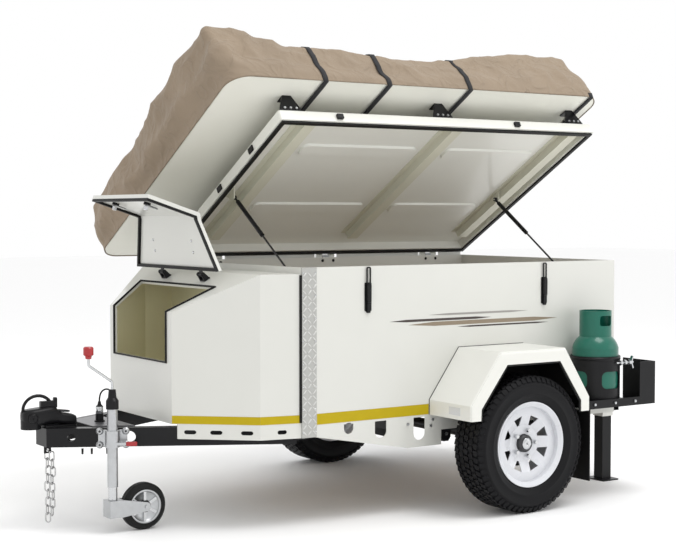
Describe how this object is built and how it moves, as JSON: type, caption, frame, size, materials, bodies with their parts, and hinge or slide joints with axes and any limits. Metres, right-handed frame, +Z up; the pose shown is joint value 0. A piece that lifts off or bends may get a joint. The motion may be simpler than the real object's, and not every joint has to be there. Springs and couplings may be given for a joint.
{
  "type": "off-road camping trailer with roof tent lid",
  "caption": "Single-axle off-road box trailer with a front locker, a hinged lid that carries a packed roof tent, a drawbar with ball coupling and jockey wheel, and rear legs.",
  "frame": {"origin": "on the ground, midway along and across the trailer", "axes": "+X to the rear, +Y to the trailer's right, +Z up"},
  "size_m": [3.21, 1.95, 2.316],
  "materials": {
    "body_white": "gloss",
    "lid_white": "gloss",
    "floor_board": "matte",
    "frame_black": "satin",
    "rail_white": "gloss",
    "zinc": "satin",
    "coupling_metal": "satin",
    "black_plastic": "satin",
    "red_plastic": "gloss",
    "rubber": "matte",
    "tyre": "matte",
    "rim_paint": "gloss",
    "hub_metal": "satin",
    "guard_plate": "satin",
    "lamp_red": "gloss",
    "bottle_paint": "satin",
    "leg_cream": "gloss",
    "tent_board": "satin",
    "canvas": "matte"
  },
  "bodies": {
    "chassis": {"drawbar_left": "frame_black", "drawbar_right": "frame_black", "frame_members": "frame_black", "drawbar_plate": "zinc", "coupling": "coupling_metal", "coupling_handle": "frame_black", "safety_chain": "zinc", "jockey_tube": "zinc", "jockey_head": "black_plastic", "jockey_grips": "red_plastic", "trailer_plug": "black_plastic", "plug_lead": "rubber", "rail_left": "rail_white", "rail_right": "rail_white", "nose_shell": "body_white", "nose_seal": "rubber", "nose_hinges": "black_plastic", "body_side_left": "body_white", "body_side_right": "body_white", "body_front": "body_white", "body_rear": "body_white", "body_floor": "floor_board", "corner_guards": "guard_plate", "fender_left": "rail_white", "fender_right": "rail_white", "mudflaps": "rubber", "axle_beam": "frame_black", "leaf_springs": "frame_black", "shelf_left": "frame_black", "shelf_right": "frame_black", "leg_sleeves": "leg_cream", "tail_lamps": "lamp_red", "gas_bottle": "bottle_paint", "side_latches": "frame_black", "lid_hinges": "zinc"},
    "lid": {"lid_pan": "lid_white", "lid_ribs": "lid_white", "lid_seal": "rubber", "tent_brackets": "frame_black", "tent_base": "tent_board", "tent_cover": "canvas"},
    "nose_door": {"nose_door": "body_white", "nose_door_seal": "rubber", "nose_door_fittings": "black_plastic"},
    "strut_tube_front": {"strut_tube_front": "frame_black"},
    "strut_rod_front": {"strut_rod_front": "zinc"},
    "strut_tube_rear": {"strut_tube_rear": "frame_black"},
    "strut_rod_rear": {"strut_rod_rear": "zinc"},
    "wheel_left": {"tyre_left": "tyre", "rim_left": "rim_paint", "hub_left": "hub_metal"},
    "wheel_right": {"tyre_right": "tyre", "rim_right": "rim_paint", "hub_right": "hub_metal"},
    "jockey_leg": {"jockey_leg": "zinc"},
    "jockey_fork": {"jockey_fork": "zinc"},
    "jockey_wheel": {"jockey_wheel": "rubber"},
    "rear_leg_left": {"rear_leg_left": "frame_black"},
    "rear_leg_right": {"rear_leg_right": "frame_black"}
  },
  "joints": [
    {"name": "lid_hinge", "type": "hinge", "parent": "chassis", "child": "lid", "pos_m": [0, 0.662, 1.212], "axis": [1, 0, 0], "range_deg": [0, 30.4]},
    {"name": "strut_front_pivot", "type": "hinge", "parent": "lid", "child": "strut_tube_front", "pos_m": [-0.395, 0.15461, 1.53287], "axis": [1, 0, 0], "range_deg": [-55, 0]},
    {"name": "strut_front_slide", "type": "slide", "parent": "strut_tube_front", "child": "strut_rod_front", "axis": [0, -0.8229, -0.5681], "range_m": [-0.2048, 0]},
    {"name": "strut_rear_pivot", "type": "hinge", "parent": "lid", "child": "strut_tube_rear", "pos_m": [1.31, 0.15461, 1.53287], "axis": [1, 0, 0], "range_deg": [-55, 0]},
    {"name": "strut_rear_slide", "type": "slide", "parent": "strut_tube_rear", "child": "strut_rod_rear", "axis": [0, -0.8229, -0.5681], "range_m": [-0.2048, 0]},
    {"name": "nose_door_hinge", "type": "hinge", "parent": "chassis", "child": "nose_door", "pos_m": [-0.782, 0, 1.165], "axis": [0, -1, 0], "range_deg": [0, 108]},
    {"name": "wheel_left_spin", "type": "hinge", "parent": "chassis", "child": "wheel_left", "pos_m": [0.615, -0.868, 0.334], "axis": [0, 1, 0], "continuous": true},
    {"name": "wheel_right_spin", "type": "hinge", "parent": "chassis", "child": "wheel_right", "pos_m": [0.615, 0.868, 0.334], "axis": [0, 1, 0], "continuous": true},
    {"name": "jockey_lift", "type": "slide", "parent": "chassis", "child": "jockey_leg", "axis": [0, 0, 1], "range_m": [-0.18, 0.04]},
    {"name": "jockey_swivel", "type": "hinge", "parent": "jockey_leg", "child": "jockey_fork", "pos_m": [-1.258, -0.235, 0.15], "axis": [0, 0, 1], "continuous": true},
    {"name": "jockey_wheel_spin", "type": "hinge", "parent": "jockey_fork", "child": "jockey_wheel", "pos_m": [-1.108, -0.235, 0.108], "axis": [0, 1, 0], "continuous": true},
    {"name": "rear_leg_left_lift", "type": "slide", "parent": "chassis", "child": "rear_leg_left", "axis": [0, 0, 1], "range_m": [0, 0.25]},
    {"name": "rear_leg_right_lift", "type": "slide", "parent": "chassis", "child": "rear_leg_right", "axis": [0, 0, 1], "range_m": [0, 0.25]}
  ],
  "couplings": [
    {"joint": "strut_front_pivot", "follows": "lid_hinge", "ratio": -1.8077},
    {"joint": "strut_front_slide", "follows": "lid_hinge", "m_per_rad": -0.38583},
    {"joint": "strut_rear_pivot", "follows": "lid_hinge", "ratio": -1.8077},
    {"joint": "strut_rear_slide", "follows": "lid_hinge", "m_per_rad": -0.38583}
  ]
}
